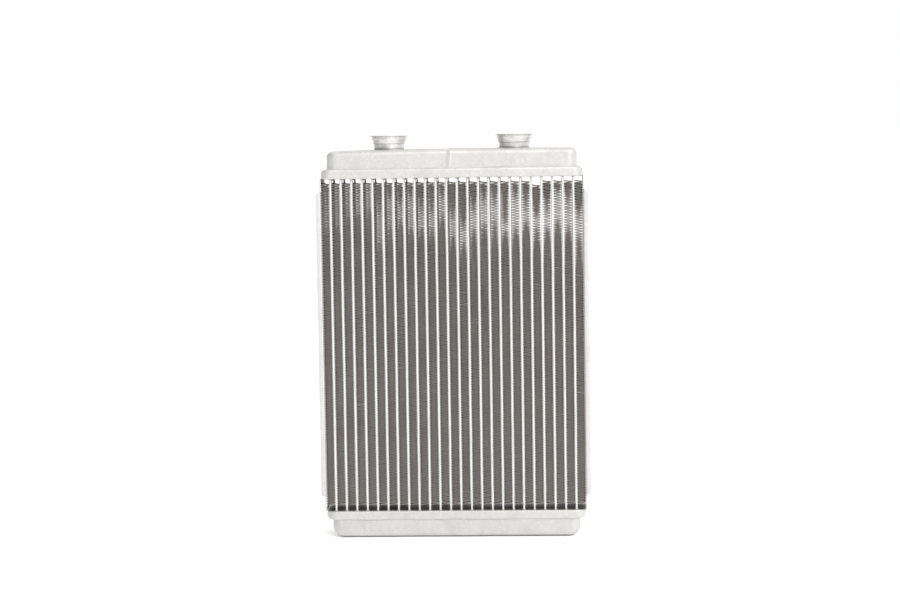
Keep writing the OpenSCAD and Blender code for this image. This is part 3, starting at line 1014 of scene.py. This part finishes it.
def neck(node, name, material):
    """A turned spigot: a root in the cover, a stepped cup that flares, and a rolled lip. Its section
    is in mm, by radius and by height above the cover: up the outside, then down the bore."""
    low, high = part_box(node)
    lip_r = (high.x - low.x) / 2 / MM
    top = (high.z - TANK_TOP) / MM
    foot = (low.z - TANK_TOP) / MM
    # The root, with its bead of braze
    profile = [(NECK_BORE, foot), (NECK_ROOT, foot), (NECK_ROOT, -1.3), (NECK_ROOT, -0.6)]
    profile += arc_points((NECK_ROOT + 0.7, 0.45), 0.7, 0.7, 265, 180, 6)
    profile += [(NECK_ROOT, 1.8), (NECK_ROOT, 2.7)]
    # The step, and the cup's outside
    profile += arc_points((NECK_ROOT + 0.35, 3.05), 0.35, 0.35, 180, 90, 4)
    profile += arc_points((NECK_CUP - 0.15, 3.75), 0.3, 0.35, -90, 0, 4)
    profile += [(NECK_CUP + 0.2, 4.3), (NECK_CUP + 0.32, 5.0), (NECK_CUP + 0.5, 5.8), (NECK_CUP + 0.72, 6.5)]
    # The lip
    profile += arc_points((lip_r - 0.35, 7.15), 0.95, 1.0, 190, 100, 6)
    profile += arc_points((lip_r - 0.3, top - 0.3), 0.3, 0.3, -60, 90, 8)
    profile += arc_points((lip_r - 0.75, top - 0.45), 0.45, 0.45, 90, 150, 4)
    # The cup's inside, its seat, and the bore
    profile += [(NECK_CUP - 0.2, 6.7), (NECK_CUP - 0.55, 5.9), (NECK_CUP - 0.85, 4.6)]
    profile += arc_points((NECK_BORE + 0.35, 3.7), 0.35, 0.35, -10, -90, 4)
    profile += arc_points((NECK_BORE + 0.25, 3.1), 0.25, 0.25, 90, 180, 4)
    profile += [(NECK_BORE, 1.5), (NECK_BORE, -0.5)]
    around = np.linspace(0, 2 * math.pi, NECK_SEGMENTS, endpoint=False)
    radius, z = np.array(profile + profile[:1]).T * MM
    x = (low.x + high.x) / 2 + radius[:, None] * np.cos(around)
    y = radius[:, None] * np.sin(around)
    points = np.stack(np.broadcast_arrays(x, y, TANK_TOP + z[:, None]), -1).reshape(-1, 3)
    faces = grid_faces(len(profile) + 1, NECK_SEGMENTS, closed=True)
    piece = make_object(name, points, [faces], material, node)
    weld(piece)


# The object

tank_finish = pressed_sheet("tank_sheet", (0.645, 0.635, 0.62), (0.575, 0.565, 0.55))
# The header sheet carries the painted shade between the tubes
header_finish = pressed_sheet(
    "header_sheet", (0.655, 0.65, 0.635), (0.57, 0.565, 0.55), specks=0.5, shift=10.0, shaded_between_tubes=True
)
plate_finish = pressed_sheet("side_plate_sheet", (0.69, 0.685, 0.67), (0.62, 0.615, 0.60), shift=20.0)
baffle_finish = pressed_sheet("baffle_sheet", (0.70, 0.69, 0.68), (0.62, 0.61, 0.60), shift=30.0)
top_tank(tank_finish)
bottom_tank(tank_finish)
cover_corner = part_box("bottom_tank")[1]
header("top_header", "top_header_formed", header_finish, cover_corner, 31)
header("bottom_header", "bottom_header_formed", header_finish, cover_corner, 32)
tube_finish = tube_metal()
for number, tube_name in enumerate(tubes):
    tube(tube_name, tube_finish, 100 + number)
fin_finish = fin_metal()
for number, fin_name in enumerate(fins):
    fin(fin_name, fin_finish, 200 + number)
side_plate("left_side_plate", "left_side_channel", plate_finish, 41)
side_plate("right_side_plate", "right_side_channel", plate_finish, 42)
neck_finish = turned_metal("neck_metal")
neck("inlet_neck", "inlet_neck_turned", neck_finish)
neck("outlet_neck", "outlet_neck_turned", neck_finish)
baffle_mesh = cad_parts["baffle"].data
baffle_mesh.materials.clear()
baffle_mesh.materials.append(baffle_finish)


# Stage, light and camera

def floor():
    mesh = bpy.data.meshes.new("floor")
    corners = [(x * FLOOR_REACH, y * FLOOR_REACH, 0) for x, y in ((-1, -1), (1, -1), (1, 1), (-1, 1))]
    mesh.from_pydata(corners, [], [(0, 1, 2, 3)])
    mesh.materials.append(floor_paint())
    plane = bpy.data.objects.new("floor", mesh)
    bpy.context.scene.collection.objects.link(plane)


def sun_light():
    """A broad soft light from the front, the right and above."""
    light = bpy.data.lights.new("sun", "SUN")
    light.energy = SUN_STRENGTH
    light.angle = SUN_SPREAD
    sun = bpy.data.objects.new("sun", light)
    sun.rotation_euler = (-Vector(SUN_SIDE)).to_track_quat("-Z", "Y").to_euler()
    bpy.context.scene.collection.objects.link(sun)


def soft_box():
    light = bpy.data.lights.new("key", "AREA")
    light.shape = "RECTANGLE"
    light.size, light.size_y = KEY_SIZE
    light.energy = KEY_POWER
    box = bpy.data.objects.new("key", light)
    box.location = KEY_PLACE
    box.rotation_euler = (Vector(KEY_TARGET) - Vector(KEY_PLACE)).to_track_quat("-Z", "Y").to_euler()
    bpy.context.scene.collection.objects.link(box)


def studio_world():
    """White to look at. What lights the object is a room, bright on the right and above and dimmer on
    the left."""
    world = bpy.data.worlds.new("studio")
    world.use_nodes = True
    nodes, links = world.node_tree.nodes, world.node_tree.links
    background = nodes["Background"]
    direction = nodes.new("ShaderNodeTexCoord").outputs["Generated"]
    facing = nodes.new("ShaderNodeVectorMath")
    facing.operation = "DOT_PRODUCT"
    links.new(direction, facing.inputs[0])
    facing.inputs[1].default_value = ROOM_BRIGHT_SIDE
    level = nodes.new("ShaderNodeMapRange")
    level.interpolation_type = "SMOOTHSTEP"
    links.new(facing.outputs["Value"], level.inputs["Value"])
    for socket, number in zip(RAMP_SOCKETS, ROOM_LEVELS):
        level.inputs[socket].default_value = number
    seen = nodes.new("ShaderNodeMix")
    links.new(nodes.new("ShaderNodeLightPath").outputs["Is Camera Ray"], seen.inputs["Factor"])
    links.new(level.outputs["Result"], seen.inputs["A"])
    seen.inputs["B"].default_value = 1.0
    links.new(seen.outputs["Result"], background.inputs["Strength"])
    background.inputs["Color"].default_value = (1, 1, 1, 1)
    bpy.context.scene.world = world


def camera():
    """Level with the necks and in front, a little to the right, turned and tipped a little."""
    yaw, pitch, roll = CAMERA_TURN
    ahead = Vector((math.sin(yaw) * math.cos(pitch), math.cos(yaw) * math.cos(pitch), -math.sin(pitch)))
    right = Vector((math.cos(yaw), -math.sin(yaw), 0))
    up = right.cross(ahead)
    rolled_right = right * math.cos(roll) + up * math.sin(roll)
    rolled_up = up * math.cos(roll) - right * math.sin(roll)
    lens = bpy.data.cameras.new("camera")
    lens.lens = CAMERA_LENS
    lens.sensor_width = CAMERA_SENSOR
    lens.clip_start, lens.clip_end = CAMERA_CLIP
    eye = bpy.data.objects.new("camera", lens)
    turned = Matrix((rolled_right, rolled_up, -ahead)).transposed().to_4x4()
    eye.matrix_world = Matrix.Translation(CAMERA_PLACE) @ turned
    bpy.context.scene.collection.objects.link(eye)
    bpy.context.scene.camera = eye


floor()
studio_world()
sun_light()
soft_box()
camera()
bpy.context.scene.view_settings.view_transform = "Standard"
